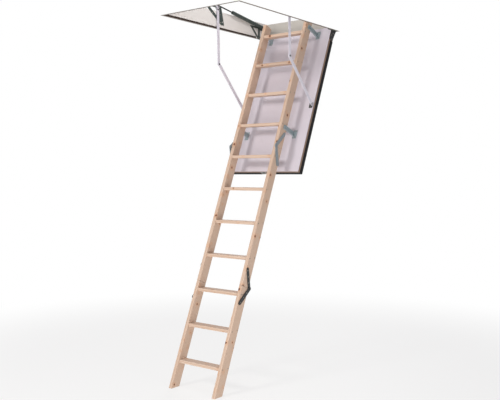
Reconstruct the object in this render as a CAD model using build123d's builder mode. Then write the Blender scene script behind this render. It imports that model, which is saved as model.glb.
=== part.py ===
from build123d import *
import os
from math import cos, radians, sin

# Folding attic ladder in its hatch frame. Millimetres, +Z up, +Y towards the hatch hinge.
# The origin is the middle of the hatch opening, at the height of the ceiling.

# Driving dimensions
frame_w = 700.0  # hatch frame, outside
frame_l = 1240.0
frame_h = 130.0
board_t = 18.0
ceiling_h = 2547.0  # floor to the underside of the frame
lean = 67.6  # slope of the open door and ladder, degrees
ladder_w = 410.0  # over both stiles
stile_t = 27.0
stile_d = 73.0
step_total = 11
first_step = 172.0  # floor to the middle of the lowest step
top_step_drop = 96.92  # from the ladder's top to the middle of its highest step, along the ladder
step_t = 22.0
step_inset = 3.0  # each edge of a step lies this far inside the stile's edges
housing_depth = 8.0  # how far a step's ends go into the stiles
low_fold_step = 3  # the lower fold is just above this step, counted from the floor
high_fold_step = 7
low_split_share = 0.2  # of the way from that step to the next
high_split_share = 0.25
ladder_top = -9.0  # along the ladder, from the hatch pin
door_lift = 2.0  # door's outer face inside the pin's level
door_t = 56.0
skin_t = 3.0
rim_w = 30.0
stand_off = 89.0  # door face to the stiles' rear edges
plate_t = 3.0
leaf_w = 26.0
leaf_reach_share = 0.5  # of the step pitch
arm_w = 27.0
pin_r = 4.0
screw_r = 2.0
screw_head_r = 4.2
screw_head_h = 1.6
screw_crown_r = 2.3
joint_screw_grip = 20.0  # corner screws reach this far into the end boards
leaf_step_screw_y = -9.0  # back screw of the step behind the low fold leaf
tube_r = 14.0
tube_wall = 1.5
rod_r = 5.0
coil_wire_r = 1.6
coil_pitch = 12.0
seal_t = 2.5
seal_h = 12.0
joist_hole_r = 3.25

# Clearances
run_gap = 0.05  # pins in the links that turn on them
fit_gap = 0.1  # steps in their housings, screws in their holes
side_gap = 2.5  # door rim seal to the frame's seal
end_gap = 4.0  # door end to the front board
split_gap = 2.0  # between two ladder sections
pin_proud = 7.0  # fold pins stand this far past the stiles' edges
plate_gap = 0.3  # between two plates that slide past each other

# Places worked out from the sizes
inner_w = frame_w / 2 - board_t
inner_l = frame_l / 2 - board_t
pin_y = inner_l - 12.0
pin_z = 3.0
screw_len = stile_t - housing_depth + plate_t  # stops at a step's housing
corner_screw_len = board_t + joint_screw_grip
step_d = stile_d - 2 * step_inset
step_screw_y = 0.4 * step_d  # either side of a step's middle
door_in = door_lift + door_t
stile_rear = door_in + stand_off
stile_front = stile_rear + stile_d
seal_x = inner_w - seal_t - side_gap - 1.5
door_half = seal_x - 2.0
door_top = -6.0
door_end = -(pin_y + inner_l - end_gap)
outer_x = ladder_w / 2
inner_x = outer_x - stile_t
up_door = (0, cos(radians(lean)), sin(radians(lean)))
off_door = (0, -sin(radians(lean)), cos(radians(lean)))


def place(x, v, n):
    """A point v up the door from the hatch pin and n out from it towards the ladder's front."""
    return (x, pin_y + v * up_door[1] + n * off_door[1], pin_z + v * up_door[2] + n * off_door[2])


def foot_at(n):
    """How far along the ladder the floor is, on the line n out from the pin."""
    return (-ceiling_h - pin_z - n * off_door[2]) / up_door[2]


mid_n = (stile_rear + stile_front) / 2
top_step_z = place(0, ladder_top - top_step_drop, mid_n)[2]
step_pitch = (top_step_z + ceiling_h - first_step) / (step_total - 1)
leaf_reach = leaf_reach_share * step_pitch
step_z = [-ceiling_h + first_step + step_pitch * k for k in range(step_total)]
step_v = [(z - pin_z - mid_n * off_door[2]) / up_door[2] for z in step_z]


def split_above(step_number, share):
    """How far along the ladder a split is, between a step and the next one up."""
    below = step_v[step_number - 1]
    return below + share * (step_v[step_number] - below)


foot_v = foot_at(stile_front)
split_low = split_above(low_fold_step, low_split_share)
split_high = split_above(high_fold_step, high_split_share)
sides = (("left", -1), ("right", 1))

# Pivots of the arms and springs, as (Y, Z)
arm_pivot = (-33.0, frame_h + 11.0)
elbow = (-22.0, -266.0)
crank = (arm_pivot[0], arm_pivot[1] + 27.0)
hinge_top = frame_h - 38.0
spring_root = (pin_y - 18.0, hinge_top - 9.0)
door_arm_v = -662.0
door_arm_n = door_in + 19.0
door_joint = place(0, door_arm_v, door_arm_n)[1:]
head_t = 1.5  # rivet heads

# Layers of the mechanism, outwards from the middle of the hatch
plate_x = inner_w - plate_t
upper_arm_x = plate_x - 3.0
lower_arm_x = upper_arm_x - plate_t - 1.0
door_leg_x = lower_arm_x - 9.0
spring_x = plate_x - tube_r


def side_plane(x):
    """Upright plane across X, drawn in (Y, Z); it extrudes towards +X."""
    return Plane(origin=(x, 0, 0), x_dir=(0, 1, 0), z_dir=(1, 0, 0))


def door_side(x):
    """Plane across X, drawn in (v, n) along and off the door; it extrudes towards +X."""
    return Plane(origin=(x, pin_y, pin_z), x_dir=up_door, z_dir=(1, 0, 0))


def door_face(n):
    """Plane parallel to the door, drawn in (X, v); it extrudes off the door."""
    return Plane(origin=place(0, 0, n), x_dir=(1, 0, 0), z_dir=off_door)


def screw_spots(points, sign):
    """Screws driven in along X from the outside; points are (x, y, z) for the head's seat."""
    return [Location((sign * x, y, z), (0, sign * 90, 0)) for x, y, z in points]


def face_spots(points, n):
    """Screws driven into the door's face; points are (x, v)."""
    return [door_face(n).location * Pos(x, v, 0) for x, v in points]


def drill(spots, radius=screw_r + fit_gap, depth=screw_len):
    """Clearance holes for screws: from just outside the head's seat to past the tip."""
    with Locations(*spots):
        Cylinder(radius, 2 * (depth + 1), mode=Mode.SUBTRACT)


def screw_group(spots, length=screw_len):
    """Screws with a domed head on the surface and a plain shank in its hole."""
    with BuildPart() as group:
        with Locations(*spots):
            Cylinder(screw_r, length, align=(Align.CENTER, Align.CENTER, Align.MAX))
            Cone(screw_head_r, screw_crown_r, screw_head_h, align=(Align.CENTER, Align.CENTER, Align.MIN))
    return group


def finish(piece, name):
    piece.part.label = name
    export_step(piece.part, f"parts/{name}.step")


# Hatch frame: screws and the holes that take them

corner_z = [frame_h * share for share in (0.2, 0.5, 0.8)]
corner_y = inner_l + board_t / 2
joist_y = 450.0
joist_z = (35.0, frame_h - 25.0)
bracket_screws = [(-86.0, frame_h - 18), (-2.0, frame_h - 22), (3.0, 50.0)]
hinge_screws = [
    (pin_y - 102, hinge_top - 20), (pin_y - 100, 6.0),
    (pin_y - 4, hinge_top - 32), (pin_y - 60, hinge_top - 8),
]
plate_seat = inner_w - plate_t
plate_screw_len = board_t - 4


def corner_spots(sign):
    return screw_spots([(frame_w / 2, y, z) for y in (-corner_y, corner_y) for z in corner_z], sign)


def plate_spots(points, sign):
    """Screws through a plate on a side board's inner face, heads towards the opening."""
    return [Location((sign * plate_seat, y, z), (0, -sign * 90, 0)) for y, z in points]


for side, sign in sides:
    with BuildPart() as board:
        with BuildSketch(side_plane(sign * inner_w)):
            with Locations((0, frame_h / 2)):
                Rectangle(frame_l, frame_h)
        extrude(amount=sign * board_t)
        drill(corner_spots(sign), depth=corner_screw_len)
        drill(plate_spots(bracket_screws + hinge_screws, sign), depth=plate_screw_len)
        joist_spots = screw_spots([(frame_w / 2, y, z) for y in (-joist_y, joist_y) for z in joist_z], sign)
        drill(joist_spots, joist_hole_r)
    finish(board, f"frame_board_{side}")

for name, sign in (("front", -1), ("back", 1)):
    with BuildPart() as board:
        with BuildSketch(Plane.XY):
            with Locations((0, sign * corner_y)):
                Rectangle(2 * inner_w, board_t)
        extrude(amount=frame_h)
        drill(corner_spots(-1) + corner_spots(1), depth=corner_screw_len)
        if name == "front":
            with Locations(Location((0, -inner_l, pin_z + door_lift + door_t / 2), (90, 0, 0))):
                Cylinder(8.0, 24.0, mode=Mode.SUBTRACT)
    finish(board, f"frame_board_{name}")

with BuildPart() as frame_screws:
    add(screw_group(corner_spots(-1) + corner_spots(1), corner_screw_len).part)
    for side, sign in sides:
        add(screw_group(plate_spots(bracket_screws + hinge_screws, sign), plate_screw_len).part)
finish(frame_screws, "frame_screws")

# Seal strips along the lower inner edges of three boards
seal_stop = pin_y - 140.0
with BuildPart() as frame_seal:
    for side, sign in sides:
        with BuildSketch(side_plane(sign * inner_w)):
            with Locations(((seal_stop - inner_l) / 2, seal_h / 2)):
                Rectangle(seal_stop + inner_l, seal_h)
        extrude(amount=-sign * seal_t)
    with BuildSketch(Plane.XY):
        with Locations((0, -inner_l + seal_t / 2)):
            Rectangle(2 * (inner_w - seal_t), seal_t)
    extrude(amount=seal_h)
finish(frame_seal, "frame_seal")

# Brackets on the side boards

bracket_top = frame_h + 34.0
bracket_foot = 34.0
with BuildPart() as arm_brackets:
    for side, sign in sides:
        with BuildSketch(side_plane(sign * inner_w)):
            with BuildLine():
                Polyline(
                    (-180, bracket_top), (14, bracket_top),
                    (46, bracket_foot), (8, bracket_foot), close=True,
                )
            make_face()
            with BuildLine():
                window_top = bracket_top - 10
                Polyline((-126, window_top), (-52, window_top), (-8, bracket_foot + 38), close=True)
            make_face(mode=Mode.SUBTRACT)
            with Locations((27, bracket_foot + 22)):
                Circle(6.0, mode=Mode.SUBTRACT)
            with Locations(arm_pivot):
                Circle(pin_r, mode=Mode.SUBTRACT)
            with Locations(*bracket_screws):
                Circle(screw_r + fit_gap, mode=Mode.SUBTRACT)
        extrude(amount=-sign * plate_t)
        # The top edge is folded outwards over the board
        with BuildSketch(side_plane(sign * inner_w)):
            with Locations((-83, bracket_top - plate_t / 2)):
                Rectangle(194, plate_t)
        extrude(amount=sign * 12)
finish(arm_brackets, "arm_brackets")

hinge_front = pin_y - 218.0
hinge_back = pin_y + 10.0
hinge_low = -5.0
hinge_elbow = pin_y - 114.0
with BuildPart() as hatch_hinge_plates:
    for side, sign in sides:
        with BuildSketch(side_plane(sign * inner_w)):
            with BuildLine():
                Polyline(
                    (hinge_front, hinge_top), (hinge_back, hinge_top), (hinge_back, hinge_low),
                    (hinge_elbow, hinge_low), close=True,
                )
            make_face()
            with BuildLine():
                window_top = hinge_top - 12
                Polyline((pin_y - 184, window_top), (hinge_elbow, window_top), (hinge_elbow, 16), close=True)
            make_face(mode=Mode.SUBTRACT)
            with Locations((pin_y - 58, hinge_top / 2 - 2)):
                Rectangle(64, hinge_top - 40, mode=Mode.SUBTRACT)
            with Locations((pin_y, pin_z), spring_root):
                Circle(pin_r, mode=Mode.SUBTRACT)
            with Locations(*hinge_screws):
                Circle(screw_r + fit_gap, mode=Mode.SUBTRACT)
        extrude(amount=-sign * plate_t)
finish(hatch_hinge_plates, "hatch_hinge_plates")


def pin_along_x(at, start, end, radius, sign):
    """A round pin along X between two distances from the middle of the hatch."""
    with BuildPart() as pin:
        with BuildSketch(side_plane(sign * start)):
            with Locations(at):
                Circle(radius)
        extrude(amount=sign * (end - start))
    return pin.part


collar_r = pin_r + 2.5
with BuildPart() as pivot_pins:
    for side, sign in sides:
        # Hatch hinge, with a collar that keeps the door's plate off the frame's
        add(pin_along_x((pin_y, pin_z), door_half + plate_gap, inner_w, pin_r, sign))
        add(pin_along_x((pin_y, pin_z), door_half + plate_t + plate_gap, plate_x, collar_r, sign))
        # Arm pivot, with a collar behind the arm and a head in front of it
        arm_inside = upper_arm_x - plate_t
        add(pin_along_x(arm_pivot, arm_inside - 2, inner_w, pin_r, sign))
        add(pin_along_x(arm_pivot, upper_arm_x + plate_gap, plate_x, collar_r, sign))
        add(pin_along_x(arm_pivot, arm_inside - 2, arm_inside - plate_gap, collar_r, sign))
        # Spring root, with the eye held between a collar and a head
        add(pin_along_x(spring_root, spring_x - 3.6, inner_w, pin_r, sign))
        add(pin_along_x(spring_root, spring_x + 1.5 + plate_gap, plate_x, collar_r, sign))
        add(pin_along_x(spring_root, spring_x - 3.6, spring_x - 1.5 - plate_gap, collar_r, sign))
finish(pivot_pins, "pivot_pins")

# Lock: striker on the front board, case in the door's end, sliding bolt
lock_n = door_lift + door_t / 2
bolt_r = 6.0
with BuildPart() as lock_striker:
    with BuildSketch(Plane(origin=(0, -inner_l, 0), x_dir=(1, 0, 0), z_dir=(0, -1, 0)).offset(-seal_t / 2)):
        with Locations((0, 42)):
            RectangleRounded(60, 50, 4)
        with Locations((0, pin_z + lock_n)):
            Circle(8.0, mode=Mode.SUBTRACT)
    extrude(amount=seal_t / 2)
finish(lock_striker, "lock_striker")

with BuildPart() as lock_case:
    with BuildSketch(door_face(lock_n - 12)):
        with Locations((0, door_end + 12)):
            Rectangle(50, 24)
    extrude(amount=24)
    with Locations(Plane(origin=place(0, door_end, lock_n), z_dir=up_door).location):
        Cylinder(bolt_r + run_gap, 44, mode=Mode.SUBTRACT)
finish(lock_case, "lock_case")

with BuildPart() as lock_bolt:
    with BuildSketch(Plane(origin=place(0, door_end + 8, lock_n), z_dir=up_door)):
        Circle(bolt_r)
    extrude(amount=-18)
finish(lock_bolt, "lock_bolt")

# Door

door_mid_v = (door_top + door_end) / 2
door_len = door_top - door_end


def door_slab(n, thickness, half_w, length):
    """A rectangular layer of the door."""
    with BuildPart() as slab:
        with BuildSketch(door_face(n)):
            with Locations((0, door_mid_v)):
                Rectangle(2 * half_w, length)
        extrude(amount=thickness)
    return slab.part


bracket_v = (ladder_top - 56, step_v[high_fold_step] - 26.5)
foot_x = outer_x + 22.0
foot_screws = [(sign * foot_x, v + dv) for side, sign in sides for v in bracket_v for dv in (-22, 22)]
arm_foot_x = door_leg_x - 12.0
arm_foot_screws = [(sign * arm_foot_x, door_arm_v + dv) for side, sign in sides for dv in (-14, 14)]
door_spots = face_spots(foot_screws + arm_foot_screws, door_in + plate_t)
strap_screws = [(-40.0, 22.0), (-62.0, 40.0), (-84.0, 22.0)]


def strap_spots(sign):
    return screw_spots([place(door_half + plate_t, v, n) for v, n in strap_screws], sign)


with BuildPart() as door_outer_panel:
    add(door_slab(door_lift, skin_t, door_half, door_len))
finish(door_outer_panel, "door_outer_panel")

with BuildPart() as door_inner_panel:
    add(door_slab(door_in - skin_t, skin_t, door_half, door_len))
    drill(door_spots)
finish(door_inner_panel, "door_inner_panel")

with BuildPart() as door_core:
    add(door_slab(door_lift + skin_t, door_t - 2 * skin_t, door_half - rim_w, door_len - 2 * rim_w))
    drill(door_spots)
finish(door_core, "door_core")

with BuildPart() as door_rim:
    add(door_slab(door_lift + skin_t, door_t - 2 * skin_t, door_half, door_len))
    with BuildSketch(door_face(door_lift + skin_t)):
        with Locations((0, door_mid_v)):
            Rectangle(2 * (door_half - rim_w), door_len - 2 * rim_w)
    extrude(amount=door_t, mode=Mode.SUBTRACT)
    with BuildSketch(door_face(lock_n - 12)):
        with Locations((0, door_end + 12)):
            Rectangle(50, 24)
    extrude(amount=24, mode=Mode.SUBTRACT)
    drill(door_spots + strap_spots(-1) + strap_spots(1))
finish(door_rim, "door_rim")

rim_seal_n = 34.0
seal_top = -104.0
end_seal_t = 1.0
lock_gap = 30.0  # the end seal stops this far from the lock's middle
with BuildPart() as door_seal:
    for side, sign in sides:
        with BuildSketch(door_side(sign * door_half)):
            with Locations(((seal_top + door_end) / 2, door_lift + rim_seal_n / 2)):
                Rectangle(seal_top - door_end, rim_seal_n)
        extrude(amount=sign * (seal_x - door_half))
        with BuildSketch(door_side(sign * lock_gap)):
            with Locations((door_end - end_seal_t / 2, door_lift + rim_seal_n / 2)):
                Rectangle(end_seal_t, rim_seal_n)
        extrude(amount=sign * (seal_x - lock_gap))
finish(door_seal, "door_seal")

with BuildPart() as door_hinge_plates:
    for side, sign in sides:
        with BuildSketch(door_side(sign * door_half)):
            with Locations((0, 0)):
                Circle(9.0)
            with Locations((-92, 18), (-92, 44), (-30, 44)):
                Circle(8.0)
            make_hull()
            Circle(pin_r + run_gap, mode=Mode.SUBTRACT)
            with Locations(*strap_screws):
                Circle(screw_r + fit_gap, mode=Mode.SUBTRACT)
        extrude(amount=sign * plate_t)
finish(door_hinge_plates, "door_hinge_plates")

# Brackets that stand the ladder off the door: a channel on the stile's outer face, a foot on the door
channel_w = 30.0
channel_d = 12.0
channel_top = stile_rear + 43.0
stile_grip = stile_rear + 22.0
with BuildPart() as ladder_brackets:
    for side, sign in sides:
        for v in bracket_v:
            with BuildSketch(door_face(door_in)):
                with Locations((sign * (outer_x + channel_d / 2), v)):
                    Rectangle(channel_d, channel_w)
                with Locations((sign * (outer_x + plate_t + channel_d / 2), v)):
                    Rectangle(channel_d, channel_w - 2 * plate_t, mode=Mode.SUBTRACT)
            extrude(amount=channel_top - door_in)
            with BuildSketch(door_face(door_in)):
                with Locations((sign * (outer_x + 16), v)):
                    Rectangle(32, 64)
            extrude(amount=plate_t)
    drill(door_spots)
    for side, sign in sides:
        drill(screw_spots([place(outer_x + plate_t, v, stile_grip) for v in bracket_v], sign))
finish(ladder_brackets, "ladder_brackets")

# Door ends of the arms: angle brackets with a pin that the arm turns on
arm_foot_l = 44.0
with BuildPart() as door_arm_brackets:
    for side, sign in sides:
        with BuildSketch(door_side(sign * door_leg_x)):
            with Locations((door_arm_v, door_arm_n + 2)):
                Circle(10)
            with Locations((door_arm_v, door_in + plate_t / 2)):
                Rectangle(arm_foot_l, plate_t)
            make_hull()
        extrude(amount=sign * plate_t)
        with BuildSketch(door_face(door_in)):
            with Locations((sign * arm_foot_x, door_arm_v)):
                Rectangle(2 * (door_leg_x - arm_foot_x), arm_foot_l)
        extrude(amount=plate_t)
        add(pin_along_x(door_joint, door_leg_x, lower_arm_x + head_t, pin_r, sign))
        add(pin_along_x(door_joint, door_leg_x, lower_arm_x - plate_t - plate_gap, collar_r, sign))
        add(pin_along_x(door_joint, lower_arm_x + plate_gap, lower_arm_x + head_t, pin_r + 1.5, sign))
    drill(door_spots)
finish(door_arm_brackets, "door_arm_brackets")

# Two-link arms

elbow_inside = lower_arm_x - plate_t
for side, sign in sides:
    with BuildPart() as upper_arm:
        with BuildSketch(side_plane(sign * upper_arm_x)):
            with Locations(crank, elbow):
                Circle(arm_w / 2)
            make_hull()
            with Locations(arm_pivot):
                Circle(pin_r + run_gap, mode=Mode.SUBTRACT)
            with Locations(elbow):
                Circle(pin_r, mode=Mode.SUBTRACT)
        extrude(amount=-sign * plate_t)
        # Stub that drives the spring rod
        add(pin_along_x(crank, spring_x + rod_r + 0.5, upper_arm_x - plate_t, 3.0, sign))
    finish(upper_arm, f"upper_arm_{side}")

    # The rivet is in two halves, one in each arm
    with BuildPart() as rivet:
        add(pin_along_x(elbow, upper_arm_x - plate_t - plate_gap, upper_arm_x, pin_r, sign))
        add(pin_along_x(elbow, upper_arm_x, upper_arm_x + head_t, collar_r, sign))
    finish(rivet, f"elbow_rivet_{side}")

    with BuildPart() as cap:
        add(pin_along_x(elbow, elbow_inside, lower_arm_x + plate_gap, pin_r, sign))
        add(pin_along_x(elbow, elbow_inside - head_t, elbow_inside, collar_r, sign))
    finish(cap, f"elbow_cap_{side}")

    with BuildPart() as lower_arm:
        with BuildSketch(side_plane(sign * lower_arm_x)):
            with Locations(elbow, door_joint):
                Circle(arm_w / 2)
            make_hull()
            with Locations(elbow):
                Circle(pin_r, mode=Mode.SUBTRACT)
            with Locations(door_joint):
                Circle(pin_r + run_gap, mode=Mode.SUBTRACT)
        extrude(amount=-sign * plate_t)
    finish(lower_arm, f"lower_arm_{side}")

# Springs: a tube with the coil inside, and a rod that the coil draws into the tube

to_crank = Vector(0, crank[0] - spring_root[0], crank[1] - spring_root[1])
spring_len = to_crank.length
tube_start = 58.0  # from the root pivot
eye_r = 9.0
tube_end = spring_len - 165.0
coil_start = 130.0
coil_end = tube_end - tube_wall - 2.0
for side, sign in sides:
    root = Vector(sign * spring_x, *spring_root)
    along = Plane(origin=root, x_dir=to_crank, z_dir=(1, 0, 0))
    line = Axis(root, to_crank)

    with BuildPart() as tube:
        with BuildSketch(along):
            with BuildLine():
                Polyline(
                    (eye_r - 0.5, 0), (eye_r - 0.5, rod_r), (tube_start, rod_r), (tube_start, tube_r),
                    (tube_end, tube_r), (tube_end, rod_r + 0.3), (tube_end - tube_wall, rod_r + 0.3),
                    (tube_end - tube_wall, tube_r - tube_wall), (tube_start + 3, tube_r - tube_wall),
                    (tube_start + 3, 0), close=True,
                )
            make_face()
        revolve(axis=line)
        with BuildSketch(along.offset(-1.5)):
            Circle(eye_r)
        extrude(amount=3)
        with BuildSketch(along.offset(-tube_r)):
            Circle(pin_r + run_gap)
        extrude(amount=2 * tube_r, mode=Mode.SUBTRACT)
    finish(tube, f"spring_tube_{side}")

    with BuildPart() as coil:
        start = root + to_crank.normalized() * coil_start
        with BuildLine():
            coil_r = (rod_r + tube_r - tube_wall) / 2
            turns = Helix(coil_pitch, coil_end - coil_start, coil_r, center=start, direction=to_crank)
        with BuildSketch(Plane(origin=turns @ 0, z_dir=turns % 0)):
            Circle(coil_wire_r)
        sweep(path=turns, is_frenet=True)
    finish(coil, f"spring_coil_{side}")

    with BuildPart() as rod:
        with BuildSketch(along):
            with BuildLine():
                Polyline(
                    (coil_start - 12, 0), (coil_start - 12, tube_r - tube_wall - 0.4),
                    (coil_start - 4, tube_r - tube_wall - 0.4), (coil_start - 4, rod_r),
                    (spring_len - 6, rod_r), (spring_len - 6, 0), close=True,
                )
            make_face()
        revolve(axis=line)
        with BuildSketch(along.offset(-1.5)):
            with Locations((spring_len, 0)):
                Circle(8.0)
        extrude(amount=3)
        with BuildSketch(along.offset(-tube_r)):
            with Locations((spring_len, 0)):
                Circle(3.0 + run_gap)
        extrude(amount=2 * tube_r, mode=Mode.SUBTRACT)
    finish(rod, f"spring_rod_{side}")

# Ladder sections

sections = (
    ("lower", foot_v, split_low - split_gap / 2, step_z[:low_fold_step]),
    ("middle", split_low + split_gap / 2, split_high - split_gap / 2, step_z[low_fold_step:high_fold_step]),
    ("upper", split_high + split_gap / 2, ladder_top, step_z[high_fold_step:]),
)


def step_y(z):
    """Middle of the stile, front to back, at a height."""
    v = (z - pin_z - mid_n * off_door[2]) / up_door[2]
    return place(0, v, mid_n)[1]


# A fold hinge: one leaf on each section, from the pin past one edge to near the other edge
fold_hinges = (
    ("high", split_high, stile_front + pin_proud, stile_rear + 14.0),
    ("low", split_low, stile_rear - pin_proud, stile_front - 14.0),
)
leaf_shares = (0.3, 0.62, 0.94)


def leaf_points(v, pin_n, far_n, way):
    """Screw places along a leaf, as (v, n)."""
    return [(v + way * leaf_reach * t, pin_n + (far_n - pin_n) * t) for t in leaf_shares]


def leaf_pair(v, pin_n, far_n, way, layer, bore):
    """The left and right leaves of one fold hinge: a bar on each stile's outer face."""
    low = outer_x + layer * (plate_t + plate_gap)
    with BuildPart() as leaves:
        for side, sign in sides:
            with BuildSketch(door_side(sign * low)):
                with Locations((v, pin_n), (v + way * leaf_reach, far_n)):
                    Circle(leaf_w / 2)
                make_hull()
                with Locations((v, pin_n)):
                    Circle(bore, mode=Mode.SUBTRACT)
            extrude(amount=sign * plate_t)
            if layer:
                # The outer leaf is packed out where it is screwed down
                near = 0.24
                with BuildSketch(door_side(sign * outer_x)):
                    spots = [(v + way * leaf_reach * t, pin_n + (far_n - pin_n) * t) for t in (near, 1)]
                    with Locations(*spots):
                        Circle(leaf_w / 2 - 1)
                    make_hull()
                extrude(amount=sign * (plate_t + plate_gap))
            seat = low + plate_t
            drill(screw_spots([place(seat, *p) for p in leaf_points(v, pin_n, far_n, way)], sign))
    return leaves


def leaf_spots(v, pin_n, far_n, way, layer, sign):
    seat = outer_x + layer * (plate_t + plate_gap) + plate_t
    return screw_spots([place(seat, *p) for p in leaf_points(v, pin_n, far_n, way)], sign)


for name, v, pin_n, far_n in fold_hinges:
    finish(leaf_pair(v, pin_n, far_n, 1, 0, pin_r), f"fold_{name}_upper_leaves")
    finish(leaf_pair(v, pin_n, far_n, -1, 1, pin_r + run_gap), f"fold_{name}_lower_leaves")
    with BuildPart() as fold_pins:
        for side, sign in sides:
            at = place(0, v, pin_n)[1:]
            tip = outer_x + 2 * plate_t + plate_gap
            add(pin_along_x(at, outer_x - 2, tip + 2, pin_r, sign))
            add(pin_along_x(at, outer_x - 2, outer_x, collar_r, sign))
            add(pin_along_x(at, tip + plate_gap, tip + 2, collar_r, sign))
    finish(fold_pins, f"fold_{name}_pins")

high, low = fold_hinges


def section_leaf_spots(section, sign):
    if section == "upper":
        return leaf_spots(*high[1:], 1, 0, sign)
    if section == "middle":
        return leaf_spots(*high[1:], -1, 1, sign) + leaf_spots(*low[1:], 1, 0, sign)
    return leaf_spots(*low[1:], -1, 1, sign)


def step_spots(heights, sign):
    """Two screws through the stile into each end of each step, clear of the low fold leaf on the third."""
    spots = []
    for z in heights:
        back = leaf_step_screw_y if z == step_z[low_fold_step - 1] else step_screw_y
        spots += screw_spots([(outer_x, step_y(z) + dy, z) for dy in (-step_screw_y, back)], sign)
    return spots


step_count = 0
for section, v_low, v_high, heights in sections:
    for side, sign in sides:
        with BuildPart() as stile:
            with BuildSketch(door_side(sign * inner_x)):
                with BuildLine():
                    front_low = v_low
                    rear_low = foot_at(stile_rear) if section == "lower" else v_low
                    Polyline(
                        (front_low, stile_front), (v_high, stile_front),
                        (v_high, stile_rear), (rear_low, stile_rear), close=True,
                    )
                make_face()
            extrude(amount=sign * stile_t)
            fillet(stile.edges().filter_by(Axis((0, 0, 0), up_door)), 2.5)
            with BuildSketch(side_plane(sign * inner_x)):
                with Locations(*[(step_y(z), z) for z in heights]):
                    Rectangle(step_d + 2 * fit_gap, step_t + 2 * fit_gap)
            extrude(amount=sign * (housing_depth + fit_gap), mode=Mode.SUBTRACT)
            drill(step_spots(heights, sign), depth=stile_t)
            drill(section_leaf_spots(section, sign))
            if section == "upper":
                drill(screw_spots([place(outer_x + plate_t, v, stile_grip) for v in bracket_v], sign))
        finish(stile, f"stile_{section}_{side}")

    for z in heights:
        step_count += 1
        with BuildPart() as step:
            with BuildSketch(side_plane(-inner_x - housing_depth)):
                with Locations((step_y(z), z)):
                    Rectangle(step_d, step_t)
            extrude(amount=2 * (inner_x + housing_depth))
            fillet(step.edges().filter_by(Axis.X), 2.0)
            for side, sign in sides:
                drill(step_spots([z], sign), depth=stile_t + 12)
        finish(step, f"step_{step_count:02d}")

# Screws of each body share a node


def body_screws(section, heights):
    spots = []
    for side, sign in sides:
        spots += step_spots(heights, sign) + section_leaf_spots(section, sign)
        if section == "upper":
            spots += screw_spots([place(outer_x + plate_t, v, stile_grip) for v in bracket_v], sign)
            spots += strap_spots(sign)
    if section == "upper":
        spots += door_spots
    return screw_group(spots)


for section, v_low, v_high, heights in sections:
    node = "door_and_upper_screws" if section == "upper" else f"{section}_section_screws"
    finish(body_screws(section, heights), node)
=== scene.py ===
import math

import bmesh
import bpy
import numpy as np
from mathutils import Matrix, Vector


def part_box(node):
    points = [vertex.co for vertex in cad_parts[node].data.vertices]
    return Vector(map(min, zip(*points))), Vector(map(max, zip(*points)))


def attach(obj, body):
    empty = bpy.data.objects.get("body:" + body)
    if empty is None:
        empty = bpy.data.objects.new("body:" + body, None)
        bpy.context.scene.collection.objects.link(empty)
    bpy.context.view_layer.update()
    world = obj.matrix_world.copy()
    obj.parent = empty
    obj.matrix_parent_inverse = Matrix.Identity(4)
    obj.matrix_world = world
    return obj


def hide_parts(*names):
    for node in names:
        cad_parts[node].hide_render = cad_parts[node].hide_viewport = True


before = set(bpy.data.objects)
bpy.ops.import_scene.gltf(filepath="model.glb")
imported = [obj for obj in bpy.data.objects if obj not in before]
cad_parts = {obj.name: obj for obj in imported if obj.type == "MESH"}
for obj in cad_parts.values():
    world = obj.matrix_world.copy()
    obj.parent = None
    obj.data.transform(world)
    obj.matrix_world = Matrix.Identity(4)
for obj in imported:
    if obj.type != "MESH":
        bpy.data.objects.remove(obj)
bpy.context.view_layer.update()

# Directions of the ladder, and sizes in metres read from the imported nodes

MM = 0.001
LEAN = math.radians(67.6)
OFF_LADDER = Vector((0, -math.sin(LEAN), math.cos(LEAN)))  # square to the ladder, towards its user
GRAIN_TURN = math.pi / 2 - LEAN  # about X, brings the ladder's length upright
board_low, board_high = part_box("frame_board_left")
FLOOR_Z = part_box("stile_lower_left")[0][2]
FRAME_HALF_W = -board_low[0]
FRAME_HALF_L = board_high[1]


# Shader building


def tone(red, green, blue):
    """A colour given as 0-255 display values, as the linear colour that shaders use."""

    def linear(part):
        part /= 255
        return part / 12.92 if part <= 0.04045 else ((part + 0.055) / 1.055) ** 2.4

    return (linear(red), linear(green), linear(blue), 1.0)


class Number:
    """A number socket. Python arithmetic on it adds Math nodes."""

    def __init__(self, tree, socket):
        self.tree, self.socket = tree, socket

    def math(self, operation, *values, clamp=False):
        """A Math node on the values, in their order."""
        node = self.tree.nodes.new("ShaderNodeMath")
        node.operation, node.use_clamp = operation, clamp
        for slot, value in zip(node.inputs, values):
            plug(self.tree, slot, value)
        return Number(self.tree, node.outputs[0])

    def __add__(self, other):
        return self.math("ADD", self, other)

    def __sub__(self, other):
        return self.math("SUBTRACT", self, other)

    def __rsub__(self, other):
        return self.math("SUBTRACT", other, self)

    def __mul__(self, other):
        return self.math("MULTIPLY", self, other)

    def __truediv__(self, other):
        return self.math("DIVIDE", self, other)

    __radd__, __rmul__ = __add__, __mul__

    def clamped(self):
        return self.math("ADD", self, 0.0, clamp=True)

    def sine(self):
        return self.math("SINE", self)


def plug(tree, slot, value):
    """Links a socket or a Number into a node's input, or sets the input's own value."""
    if isinstance(value, Number):
        value = value.socket
    if isinstance(value, bpy.types.NodeSocket):
        tree.links.new(value, slot)
    else:
        slot.default_value = value


class Nodes:
    """A node tree that is being built."""

    def __init__(self, tree):
        self.tree = tree

    def node(self, kind, settings=None, values=None):
        """Adds a node: its settings are set first, then its sockets by name or number."""
        node = self.tree.nodes.new(kind)
        for key, value in (settings or {}).items():
            setattr(node, key, value)
        for key, value in (values or {}).items():
            for part in value if isinstance(value, list) else [value]:
                plug(self.tree, node.inputs[key], part)
        return {out.name: out for out in node.outputs if out.enabled}

    def number(self, socket):
        return Number(self.tree, socket)


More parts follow.
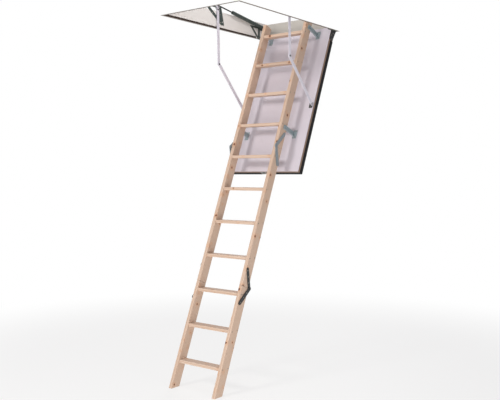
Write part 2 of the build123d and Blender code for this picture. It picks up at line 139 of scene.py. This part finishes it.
class Finish(Nodes):
    """A procedural material on Object coordinates."""

    def __init__(self, name, metal=0.0, coat=0.0, specular=0.5):
        self.material = bpy.data.materials.new(name)
        self.material.use_nodes = True
        super().__init__(self.material.node_tree)
        self.shader = self.tree.nodes["Principled BSDF"]
        self.point = self.node("ShaderNodeTexCoord")["Object"]
        self.set("Metallic", metal)
        self.set("Coat Weight", coat)
        self.set("Specular IOR Level", specular)

    def set(self, socket, value):
        plug(self.tree, self.shader.inputs[socket], value)

    def mapped(self, scale=(1, 1, 1), turn=(0, 0, 0), move=(0, 0, 0), point=None):
        values = {"Vector": point or self.point, "Scale": scale, "Rotation": turn, "Location": move}
        return self.node("ShaderNodeMapping", None, values)["Vector"]

    def noise(self, point, scale, detail=3.0, rough=0.5):
        values = {"Vector": point, "Scale": scale, "Detail": detail, "Roughness": rough}
        return self.number(self.node("ShaderNodeTexNoise", None, values)["Fac"])

    def between(self, value, low, high):
        """0 below low, 1 above high, smooth in between."""
        settings = {"interpolation_type": "SMOOTHSTEP"}
        values = {"Value": value, "From Min": low, "From Max": high}
        return self.number(self.node("ShaderNodeMapRange", settings, values)["Result"])

    def mix(self, share, first, second):
        """Mixes two colours: inputs 6 and 7 are the colour sockets."""
        return self.node("ShaderNodeMix", {"data_type": "RGBA"}, {0: share, 6: first, 7: second})["Result"]

    def bump(self, height, strength, distance):
        values = {"Height": height, "Strength": strength, "Distance": distance}
        self.set("Normal", self.node("ShaderNodeBump", None, values)["Normal"])

    def edges(self, radius):
        """1 on edges, 0 on flat stretches: edges rubbed by handling, and on the grey-green steel the
        painted shade of the edges.
        """
        rounded = self.node("ShaderNodeBevel", {"samples": 4}, {"Radius": radius})["Normal"]
        true = self.node("ShaderNodeNewGeometry")["Normal"]
        agree = self.node("ShaderNodeVectorMath", {"operation": "DOT_PRODUCT"}, {0: rounded, 1: true})
        return self.between(1 - self.number(agree["Value"]), 0.03, 0.28)

    def channel(self, colour, name):
        """One channel of a colour, as a number."""
        return self.number(self.node("ShaderNodeSeparateColor", None, {"Color": colour})[name])

    def axis(self, vector, name):
        """One axis of a vector, as a number."""
        return self.number(self.node("ShaderNodeSeparateXYZ", None, {"Vector": vector})[name])

    def cells(self, point, scale):
        """Voronoi cells: their distance, colour and centre."""
        values = {"Vector": point, "Scale": scale, "Randomness": 1.0}
        return self.node("ShaderNodeTexVoronoi", {"feature": "F1"}, values)


# Finishes


KNOT_CELLS = Vector((23.0, 23.0, 6.5))  # places for a knot per metre, fewer along the grain
KNOT_LEAST, KNOT_SPREAD = 0.0052, 0.005  # radii, in metres
RING_RATE = 620.0  # radians of ring pattern per metre across the grain
RING_DRIFT, RING_WOBBLE, RING_ROUND_KNOT = 34.0, 3.4, 4.6
FIBRE_SCALE = (900.0, 900.0, 26.0)
PORE_SCALE = (1500.0, 1500.0, 40.0)


def pine(name, along_x, shift):
    """Planed pine: growth rings, fine fibres, pores and a few round knots."""
    wood = Finish(name, specular=0.35)
    turn = (0, math.pi / 2, 0) if along_x else (GRAIN_TURN, 0, 0)
    grain = wood.mapped(turn=turn, move=shift)

    # Knots: scattered points, farther apart along the grain than across it
    spots = wood.cells(wood.mapped(scale=KNOT_CELLS, point=grain), 1.0)
    centre = wood.mapped(scale=tuple(1 / count for count in KNOT_CELLS), point=spots["Position"])
    away = wood.node("ShaderNodeVectorMath", {"operation": "DISTANCE"}, {0: grain, 1: centre})["Value"]
    ragged = wood.noise(grain, 160.0, 2.0)
    away = wood.number(away) + (ragged - 0.5) * 0.004
    pick = wood.channel(spots["Color"], "Red")
    size = pick * KNOT_SPREAD + KNOT_LEAST
    knot = 1 - wood.between(away / size, 0.72, 1.25)
    heart = 1 - wood.between(away / size, 0.1, 0.85)
    halo = 1 - wood.between(away / size, 0.9, 3.6)

    # Growth rings bend round the knots
    drift = wood.noise(wood.mapped(scale=(5.0, 5.0, 0.9), point=grain), 1.0, 3.0)
    wobble = wood.noise(wood.mapped(scale=(30.0, 30.0, 3.0), point=grain), 1.0, 2.0)
    across = wood.axis(grain, "X") * 0.7 + wood.axis(grain, "Y")
    rings = across * RING_RATE + drift * RING_DRIFT + wobble * RING_WOBBLE + halo * RING_ROUND_KNOT
    late = wood.between(rings.sine(), 0.1, 0.98)
    fibre = wood.noise(wood.mapped(scale=FIBRE_SCALE, point=grain), 1.0, 4.0, 0.65)
    speck = wood.noise(wood.mapped(scale=PORE_SCALE, point=grain), 1.0, 1.0)
    pores = wood.between(speck, 0.62, 0.74)
    tint = wood.noise(wood.mapped(scale=(7.0, 7.0, 1.6), point=grain), 1.0, 2.0)

    colour = wood.mix(tint, tone(216, 194, 176), tone(202, 174, 152))
    colour = wood.mix(late * 0.55, colour, tone(180, 144, 118))
    colour = wood.mix((fibre * 0.5 - 0.1).clamped(), colour, tone(186, 154, 130))
    colour = wood.mix(pores * 0.25, colour, tone(160, 118, 84))
    colour = wood.mix(halo * 0.4, colour, tone(206, 152, 110))
    colour = wood.mix(knot * 0.95, colour, tone(120, 68, 42))
    colour = wood.mix(heart * 0.85, colour, tone(58, 30, 22))
    edge_marks = wood.edges(2.5 * MM)
    colour = wood.mix(edge_marks * 0.4, colour, tone(244, 226, 208))
    wood.set("Base Color", colour)
    wood.set("Roughness", 0.46 + late * 0.08 + fibre * 0.12 - knot * 0.12)
    wood.bump(fibre * 0.5 + late * 0.35 - pores * 0.4 + knot * 0.3, 0.35, 0.6 * MM)
    return wood.material


DARK_LOWER_FACE_LOW, DARK_LOWER_FACE_HIGH = 0.4 * MM, 1.2 * MM  # the dark lower face fades out between these heights


def faced_board(name, light, shade, cut=False):
    """Smooth faced board with a faint orange-peel surface, soft marks and, if cut, dark lower faces:
    unfaced chipboard colour darkened with painted shade of the underside.
    """
    board = Finish(name, specular=0.4)
    cloud = board.noise(board.point, 3.5, 4.0)
    smear = board.noise(board.mapped(scale=(9.0, 40.0, 9.0)), 1.0, 5.0, 0.6)
    peel = board.noise(board.point, 420.0, 2.0)
    colour = board.mix((cloud * 0.9 - 0.1).clamped(), light, shade)
    colour = board.mix(board.between(smear, 0.6, 0.8) * 0.14, colour, tone(150, 142, 138))
    if cut:
        # Lower faces: unfaced chipboard colour, made darker as painted shade of the frame's underside
        chips = board.noise(board.mapped(scale=(300.0, 300.0, 900.0)), 1.0, 3.0, 0.7)
        raw_board_and_shade = board.mix(chips, tone(96, 88, 82), tone(140, 128, 116))
        low = 1 - board.between(board.axis(board.point, "Z"), DARK_LOWER_FACE_LOW, DARK_LOWER_FACE_HIGH)
        colour = board.mix(low, colour, raw_board_and_shade)
    board.set("Base Color", colour)
    board.set("Roughness", 0.34 + cloud * 0.12 + smear * 0.1)
    board.bump(peel * 0.5 + cloud * 0.3, 0.12, 0.4 * MM)
    return board.material


def fibre_edge(name):
    """Cut edge of the door's rim: pressed brown fibre in thin layers."""
    rim = Finish(name, specular=0.25)
    layers = rim.noise(rim.mapped(scale=(40.0, 260.0, 260.0), turn=(GRAIN_TURN, 0, 0)), 1.0, 3.0)
    specks = rim.noise(rim.point, 700.0, 3.0, 0.7)
    colour = rim.mix(layers, tone(112, 92, 80), tone(168, 142, 124))
    colour = rim.mix(rim.between(specks, 0.56, 0.72) * 0.45, colour, tone(84, 60, 48))
    rim.set("Base Color", colour)
    rim.set("Roughness", 0.7 + specks * 0.2)
    rim.bump(specks + layers * 0.5, 0.3, 0.5 * MM)
    return rim.material


def rubber(name, dark, marked):
    """Matt extruded rubber with dust and fine lines."""
    seal = Finish(name, specular=0.3)
    dust = seal.noise(seal.point, 24.0, 5.0, 0.6)
    lines = seal.noise(seal.mapped(scale=(1400.0, 60.0, 1400.0)), 1.0, 2.0)
    seal.set("Base Color", seal.mix(seal.between(dust, 0.45, 0.8) * 0.5, dark, marked))
    seal.set("Roughness", 0.6 + dust * 0.25)
    seal.bump(lines + dust * 0.5, 0.2, 0.3 * MM)
    return seal.material


def painted_steel(name, paint, chip_and_edge_shade, rough=0.36, edge_marks=0.55):
    """Sprayed steel: fine orange peel, dust in patches, and a second colour on the edges: bare steel where
    the paint is rubbed through, and on the grey-green bracket and leaf a dark painted shade of the edges.
    """
    steel = Finish(name, coat=0.25)
    peel = steel.noise(steel.point, 520.0, 2.0)
    cloud = steel.noise(steel.point, 18.0, 5.0, 0.6)
    scuff = steel.noise(steel.mapped(scale=(180.0, 40.0, 180.0)), 1.0, 4.0, 0.7)
    # Edge mask: rubbed paint, and where the second colour is dark, painted shade of the edges
    marked = (steel.edges(0.9 * MM) * (0.4 + scuff) * edge_marks).clamped()
    dusty = tuple(0.82 * part + 0.18 * grey for part, grey in zip(paint, tone(150, 150, 145)))
    colour = steel.mix(steel.between(cloud, 0.42, 0.8) * 0.6, paint, dusty)
    colour = steel.mix(steel.between(scuff, 0.66, 0.78) * 0.3, colour, chip_and_edge_shade)
    steel.set("Base Color", steel.mix(marked, colour, chip_and_edge_shade))
    steel.set("Metallic", marked * 0.8)
    steel.set("Roughness", rough + cloud * 0.14 - marked * 0.08)
    steel.bump(peel * 0.6 + scuff * 0.25, 0.14, 0.3 * MM)
    return steel.material


def zinc_plate(name, light, dark, rough=0.34):
    """Zinc-plated steel: spangled patches, drawn scratches and a cloudy tone."""
    zinc = Finish(name, metal=1.0)
    flake = zinc.channel(zinc.cells(zinc.point, 130.0)["Color"], "Green")
    cloud = zinc.noise(zinc.point, 30.0, 5.0, 0.6)
    scratch = zinc.noise(zinc.mapped(scale=(60.0, 1300.0, 60.0), turn=(GRAIN_TURN, 0, 0)), 1.0, 2.0)
    colour = zinc.mix((flake * 0.35 + cloud * 0.5).clamped(), light, dark)
    zinc.set("Base Color", colour)
    zinc.set("Roughness", rough + flake * 0.08 + cloud * 0.14)
    zinc.bump(scratch * 0.5 + flake * 0.2, 0.16, 0.2 * MM)
    return zinc.material


def foam(name):
    """Insulation foam: small packed beads."""
    bead = Finish(name)
    gap = bead.number(bead.cells(bead.point, 260.0)["Distance"])
    bead.set("Base Color", bead.mix((gap * 0.8).clamped(), tone(240, 240, 236), tone(196, 196, 190)))
    bead.set("Roughness", 0.8 + gap * 0.1)
    bead.bump(1 - gap, 0.4, 1.0 * MM)
    return bead.material


GREEN = tone(58, 70, 66)
BLACK = tone(18, 19, 20)
BARE = tone(150, 152, 150)
finishes = {
    "stile_upper": pine("pine_upper_stiles", False, (0.0, 0.0, 0.0)),
    "stile_middle": pine("pine_middle_stiles", False, (0.31, 0.17, 0.83)),
    "stile_lower": pine("pine_lower_stiles", False, (0.67, 0.41, 0.29)),
    "step": pine("pine_steps", True, (0.11, 0.53, 0.07)),
    "frame_board": faced_board("grey_faced_board", tone(240, 235, 230), tone(230, 224, 218), cut=True),
    # The back board is the same faced board in darker tones: painted shade of the back of the opening
    "frame_board_back": faced_board(
        "grey_board_painted_shade", tone(196, 192, 184), tone(184, 178, 170), cut=True
    ),
    # The door's inner face is white paint; its lilac grey, darker than the outer panel, is painted tint
    # and shade of the light on it
    "door_inner_panel": faced_board("white_panel_painted_tint", tone(210, 203, 210), tone(200, 191, 199)),
    "door_outer_panel": faced_board("white_outer_panel", tone(230, 228, 228), tone(222, 219, 220)),
    "door_rim": fibre_edge("brown_fibre_edge"),
    "door_core": foam("white_foam"),
    "door_seal": rubber("black_rubber", tone(22, 21, 22), tone(58, 54, 52)),
    "frame_seal": rubber("brown_rubber", tone(52, 38, 30), tone(96, 78, 64)),
    "green": painted_steel("dark_green_paint", GREEN, BARE),
    # Dark second colour on every edge at full strength: painted shade of the edges, seen as dark outlines
    "bracket": painted_steel("green_grey_paint_edge_shade", tone(152, 166, 170), tone(54, 64, 66), 0.34, 1.0),
    "white": painted_steel("white_arm_paint", tone(222, 217, 226), tone(140, 138, 140), 0.38, 0.3),
    "black": painted_steel("black_paint", BLACK, BARE, 0.4, 0.4),
    # Dark second colour on every edge at full strength: painted shade of the edges, seen as dark outlines
    "leaf": painted_steel("grey_green_leaf_edge_shade", tone(132, 142, 147), tone(50, 58, 62), 0.34, 1.0),
    "lock": zinc_plate("zinc_lock", tone(158, 166, 166), tone(92, 102, 102)),
    "screw": zinc_plate("screw_zinc", tone(172, 168, 156), tone(104, 100, 92), 0.3),
    "spring": zinc_plate("oiled_spring_steel", tone(92, 92, 94), tone(48, 48, 50), 0.3),
}

# The first pair whose beginning fits a node's name gives the node its finish
NODE_FINISH = (
    ("stile_upper", "stile_upper"), ("stile_middle", "stile_middle"), ("stile_lower", "stile_lower"),
    ("step_", "step"), ("frame_board_back", "frame_board_back"), ("frame_board", "frame_board"),
    ("frame_seal", "frame_seal"),
    ("door_inner_panel", "door_inner_panel"), ("door_outer_panel", "door_outer_panel"),
    ("door_rim", "door_rim"), ("door_core", "door_core"), ("door_seal", "door_seal"),
    ("arm_brackets", "green"), ("hatch_hinge_plates", "green"), ("ladder_brackets", "bracket"),
    ("spring_tube", "green"), ("spring_rod", "black"), ("spring_coil", "spring"),
    ("upper_arm", "white"), ("lower_arm", "white"), ("elbow_rivet", "black"), ("pivot_pins", "black"),
    ("door_hinge_plates", "black"), ("door_arm", "black"), ("fold_low", "black"), ("fold_high", "leaf"),
    ("elbow_cap", "black"), ("lock_", "lock"), ("frame_screws", "screw"),
    ("door_and_upper_screws", "screw"), ("middle_section_screws", "screw"),
    ("lower_section_screws", "screw"),
)


def finish_of(node):
    return next(finishes[key] for start, key in NODE_FINISH if node.startswith(start))


for node_name, node_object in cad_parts.items():
    if not node_object.material_slots:
        node_object.data.materials.append(None)
    for slot in node_object.material_slots:
        slot.link = "OBJECT"
        slot.material = finish_of(node_name)

# Screws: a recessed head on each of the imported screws

SCREW_BODIES = {
    "frame_screws": "frame",
    "door_and_upper_screws": "door",
    "middle_section_screws": "middle_section",
    "lower_section_screws": "lower_section",
}
RIM_SHARE = 0.9  # points beyond this share of a screw's widest radius are the rim of its head
HEAD_SIDES, SHANK_SIDES = 20, 10


def clusters(node):
    """Points of each separate solid of a node."""
    shape = bmesh.new()
    shape.from_mesh(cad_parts[node].data)
    bmesh.ops.remove_doubles(shape, verts=shape.verts, dist=1e-6)
    taken = set()
    found = []
    for first in shape.verts:
        if first in taken:
            continue
        taken.add(first)
        reached = [first]
        for vert in reached:
            for edge in vert.link_edges:
                other = edge.other_vert(vert)
                if other not in taken:
                    taken.add(other)
                    reached.append(other)
        found.append(np.array([vert.co for vert in reached]))
    shape.free()
    return found


def head_seat(points):
    """Middle of a screw head's underside, and the direction that the head faces."""
    middle = (points.max(axis=0) + points.min(axis=0)) / 2
    spans = [(np.ptp(points @ np.array(way)), way) for way in (Vector((1, 0, 0)), OFF_LADDER)]
    axis = np.array(max(spans, key=lambda span: span[0])[1])
    along = (points - middle) @ axis
    radial = np.linalg.norm(points - middle - np.outer(along, axis), axis=1)
    seat = along[radial > radial.max() * RIM_SHARE].mean()
    outward = axis if seat > (along.max() + along.min()) / 2 else -axis
    return middle + axis * seat, outward


def screw_tree():
    """A screw with a sloped head and a cross recess on each point, facing the point's outward way."""
    tree = bpy.data.node_groups.new("screws", "GeometryNodeTree")
    sockets = tree.interface
    sockets.new_socket("Points", in_out="INPUT", socket_type="NodeSocketGeometry")
    sizes = (
        "Head Radius", "Crown Radius", "Head Height", "Shank Radius", "Shank Length", "Slot Width",
        "Slot Depth",
    )
    for label in sizes:
        sockets.new_socket(label, in_out="INPUT", socket_type="NodeSocketFloat")
    sockets.new_socket("Material", in_out="INPUT", socket_type="NodeSocketMaterial")
    sockets.new_socket("Screws", in_out="OUTPUT", socket_type="NodeSocketGeometry")
    build = Nodes(tree)
    given = build.node("NodeGroupInput")
    size = {label: build.number(given[label]) for label in sizes}

    def shifted(mesh, height, turn=0.0):
        move = build.node("ShaderNodeCombineXYZ", None, {"Z": height})["Vector"]
        values = {"Geometry": mesh, "Translation": move, "Rotation": (0, 0, turn)}
        return build.node("GeometryNodeTransform", None, values)["Geometry"]

    head = build.node(
        "GeometryNodeMeshCone", None,
        {"Vertices": HEAD_SIDES, "Radius Top": size["Crown Radius"], "Radius Bottom": size["Head Radius"],
         "Depth": size["Head Height"]},
    )["Mesh"]
    shank = build.node(
        "GeometryNodeMeshCylinder", None,
        {"Vertices": SHANK_SIDES, "Radius": size["Shank Radius"], "Depth": size["Shank Length"]},
    )["Mesh"]
    # The shank starts a quarter of the head's height inside the head
    shank = shifted(shank, size["Shank Length"] * -0.5 + size["Head Height"] * 0.25)
    whole = build.node(
        "GeometryNodeMeshBoolean", {"operation": "UNION"}, {"Mesh 2": [head, shank]}
    )["Mesh"]
    slot_size = build.node(
        "ShaderNodeCombineXYZ", None,
        {"X": size["Crown Radius"] * 1.7, "Y": size["Slot Width"], "Z": size["Slot Depth"] * 2},
    )["Vector"]
    bar = build.node("GeometryNodeMeshCube", None, {"Size": slot_size})["Mesh"]
    cross = [shifted(bar, size["Head Height"], turn) for turn in (0.0, math.pi / 2)]
    cut = build.node(
        "GeometryNodeMeshBoolean", {"operation": "DIFFERENCE"}, {"Mesh 1": whole, "Mesh 2": cross}
    )["Mesh"]
    facing = build.node(
        "GeometryNodeInputNamedAttribute", {"data_type": "FLOAT_VECTOR"}, {"Name": "outward"}
    )["Attribute"]
    turned = build.node("FunctionNodeAlignRotationToVector", {"axis": "Z"}, {"Vector": facing})["Rotation"]
    placed = build.node(
        "GeometryNodeInstanceOnPoints", None,
        {"Points": given["Points"], "Instance": cut, "Rotation": turned},
    )["Instances"]
    real = build.node("GeometryNodeRealizeInstances", None, {"Geometry": placed})["Geometry"]
    dressed = build.node(
        "GeometryNodeSetMaterial", None, {"Geometry": real, "Material": given["Material"]}
    )["Geometry"]
    build.node("NodeGroupOutput", None, {"Screws": dressed})
    return tree


def grown(name, tree, points, attributes, inputs):
    """A plain mesh object from a geometry tree run on a cloud of points."""
    cloud = bpy.data.meshes.new(name)
    cloud.from_pydata([tuple(point) for point in points], [], [])
    for label, values in attributes.items():
        layer = cloud.attributes.new(label, "FLOAT_VECTOR", "POINT")
        layer.data.foreach_set("vector", np.array(values).ravel())
    piece = bpy.data.objects.new(name, cloud)
    bpy.context.collection.objects.link(piece)
    modifier = piece.modifiers.new("build", "NODES")
    modifier.node_group = tree
    for item in tree.interface.items_tree:
        if item.item_type == "SOCKET" and item.name in inputs:
            modifier[item.identifier] = inputs[item.name]
    piece.update_tag()
    bpy.context.view_layer.update()
    mesh = bpy.data.meshes.new_from_object(piece.evaluated_get(bpy.context.evaluated_depsgraph_get()))
    piece.modifiers.clear()
    mesh.name = name
    piece.data = mesh
    return piece


SCREW_SIZES = {
    "Head Radius": 4.2 * MM, "Crown Radius": 2.6 * MM, "Head Height": 1.6 * MM, "Shank Radius": 2 * MM,
    "Shank Length": 12 * MM, "Slot Width": 1.0 * MM, "Slot Depth": 0.9 * MM, "Material": finishes["screw"],
}
screws = screw_tree()
for node, body in SCREW_BODIES.items():
    seats = [head_seat(points) for points in clusters(node)]
    places = [seat for seat, way in seats]
    facing = {"outward": [way for seat, way in seats]}
    heads = grown(f"{node}_recessed", screws, places, facing, SCREW_SIZES)
    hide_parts(node)
    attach(heads, body)

# Room: pale floor, and a ceiling that hides what is above it from below, and nothing from above


def flat(name, outline, height, hole=None):
    """A level sheet, with an optional rectangular hole, facing up."""
    shape = bmesh.new()
    outer = [shape.verts.new((x, y, height)) for x, y in outline]
    if hole:
        inner = [shape.verts.new((x, y, height)) for x, y in hole]
        for turn in range(4):
            following = (turn + 1) % 4
            shape.faces.new((outer[turn], outer[following], inner[following], inner[turn]))
    else:
        shape.faces.new(outer)
    mesh = bpy.data.meshes.new(name)
    shape.to_mesh(mesh)
    shape.free()
    sheet = bpy.data.objects.new(name, mesh)
    bpy.context.collection.objects.link(sheet)
    return sheet


def square(half_w, half_l):
    return [(-half_w, -half_l), (half_w, -half_l), (half_w, half_l), (-half_w, half_l)]


FLOOR_HALF = 9.0
FLOOR_GAP = 0.5 * MM  # below the feet
FLOOR_GLOW = 0.68  # share of plain white near the ladder, which lifts the shadows
FADE_START, FADE_END = 3.0, 4.6  # distances between which the floor turns white
floor = flat("floor", square(FLOOR_HALF, FLOOR_HALF), FLOOR_Z - FLOOR_GAP)
floor_paint = Finish("pale_floor")
floor_paint.set("Base Color", tone(238, 237, 235))
floor_paint.set("Roughness", 0.6)
far = floor_paint.node("ShaderNodeVectorMath", {"operation": "LENGTH"}, {0: floor_paint.point})["Value"]
fade = floor_paint.between(far, FADE_START, FADE_END)
white_floor = floor_paint.node("ShaderNodeEmission", None, {"Strength": 1.0})["Emission"]
blended = floor_paint.node(
    "ShaderNodeMixShader", None,
    {0: fade * (1 - FLOOR_GLOW) + FLOOR_GLOW, 1: floor_paint.shader.outputs[0], 2: white_floor},
)["Shader"]
plug(floor_paint.tree, floor_paint.tree.nodes["Material Output"].inputs["Surface"], blended)
floor.data.materials.append(floor_paint.material)

CEILING_MARGIN = 8.0
CEILING_GAP = 0.5 * MM  # below the frame's lower face
ceiling = flat(
    "ceiling",
    square(FRAME_HALF_W + CEILING_MARGIN, FRAME_HALF_L + CEILING_MARGIN),
    -CEILING_GAP,
    square(FRAME_HALF_W, FRAME_HALF_L),
)
ceiling_paint = bpy.data.materials.new("white_ceiling")
ceiling_paint.use_nodes = True
paint = Nodes(ceiling_paint.node_tree)
paint.tree.nodes.remove(paint.tree.nodes["Principled BSDF"])
behind = paint.node("ShaderNodeNewGeometry")["Backfacing"]
clear = paint.node("ShaderNodeBsdfTransparent")["BSDF"]
white = paint.node("ShaderNodeEmission", None, {"Strength": 1.0})["Emission"]
one_sided = paint.node("ShaderNodeMixShader", None, {0: behind, 1: clear, 2: white})["Shader"]
plug(paint.tree, paint.tree.nodes["Material Output"].inputs["Surface"], one_sided)
ceiling.data.materials.append(ceiling_paint)
for ray in ("visible_diffuse", "visible_glossy", "visible_shadow", "visible_transmission"):
    setattr(ceiling, ray, False)

# World: white behind the object, softer as light on it
AMBIENT = 0.43
world = bpy.data.worlds.new("studio")
bpy.context.scene.world = world
world.use_nodes = True
sky = Nodes(world.node_tree)
sky.tree.nodes.remove(sky.tree.nodes["Background"])
backdrop = sky.node("ShaderNodeBackground", None, {"Color": (1, 1, 1, 1), "Strength": 1.0})["Background"]
soft = sky.node(
    "ShaderNodeBackground", None, {"Color": tone(248, 246, 250), "Strength": AMBIENT}
)["Background"]
seen = sky.node("ShaderNodeLightPath")["Is Camera Ray"]
chosen = sky.node("ShaderNodeMixShader", None, {0: seen, 1: soft, 2: backdrop})["Shader"]
plug(sky.tree, sky.tree.nodes["World Output"].inputs["Surface"], chosen)
bpy.context.scene.view_settings.view_transform = "Standard"


def softbox(name, place, target, size, power, colour=(1, 1, 1), spread=180):
    """A square lamp at a place, turned to a target; spread is its beam's angle in degrees."""
    light = bpy.data.lights.new(name, "AREA")
    light.shape, light.size, light.energy, light.color = "SQUARE", size, power, colour
    light.spread = math.radians(spread)
    lamp = bpy.data.objects.new(name, light)
    lamp.location = place
    lamp.rotation_euler = (Vector(target) - Vector(place)).to_track_quat("-Z", "Y").to_euler()
    lamp.visible_camera = False
    bpy.context.collection.objects.link(lamp)


softbox("key", (-1.1, -4.7, 1.2), (0.0, -0.3, -1.5), 1.1, 113.0, (1.0, 0.985, 0.97))
softbox("front_fill", (1.4, -4.4, -1.6), (0.0, -0.6, -2.3), 1.6, 26.0, spread=130)
softbox("low_side_fill", (2.2, -1.3, -2.4), (0.1, -0.5, -2.0), 1.0, 19.0)
softbox("board_light", (1.0, -0.6, 1.6), (-0.33, 0.0, 0.06), 0.5, 1.3, spread=50)
softbox("attic", (0.3, -0.4, 2.6), (0.0, 0.2, 0.0), 1.8, 10.0, (0.97, 0.98, 1.0))
softbox("back_fill", (-2.2, 4.4, 0.6), (0.0, 0.0, -1.0), 2.6, 60.0)

# Camera

EYE = (3.197, -4.202, -1.095)
TURN = math.radians(37.65)
TILT = math.radians(-2.04)
LENS = 51.86  # focal length in millimetres
camera_data = bpy.data.cameras.new("camera")
camera_data.lens = LENS
camera = bpy.data.objects.new("camera", camera_data)
camera.location = EYE
camera.rotation_euler = (math.pi / 2 + TILT, 0, TURN)
bpy.context.collection.objects.link(camera)
bpy.context.scene.camera = camera
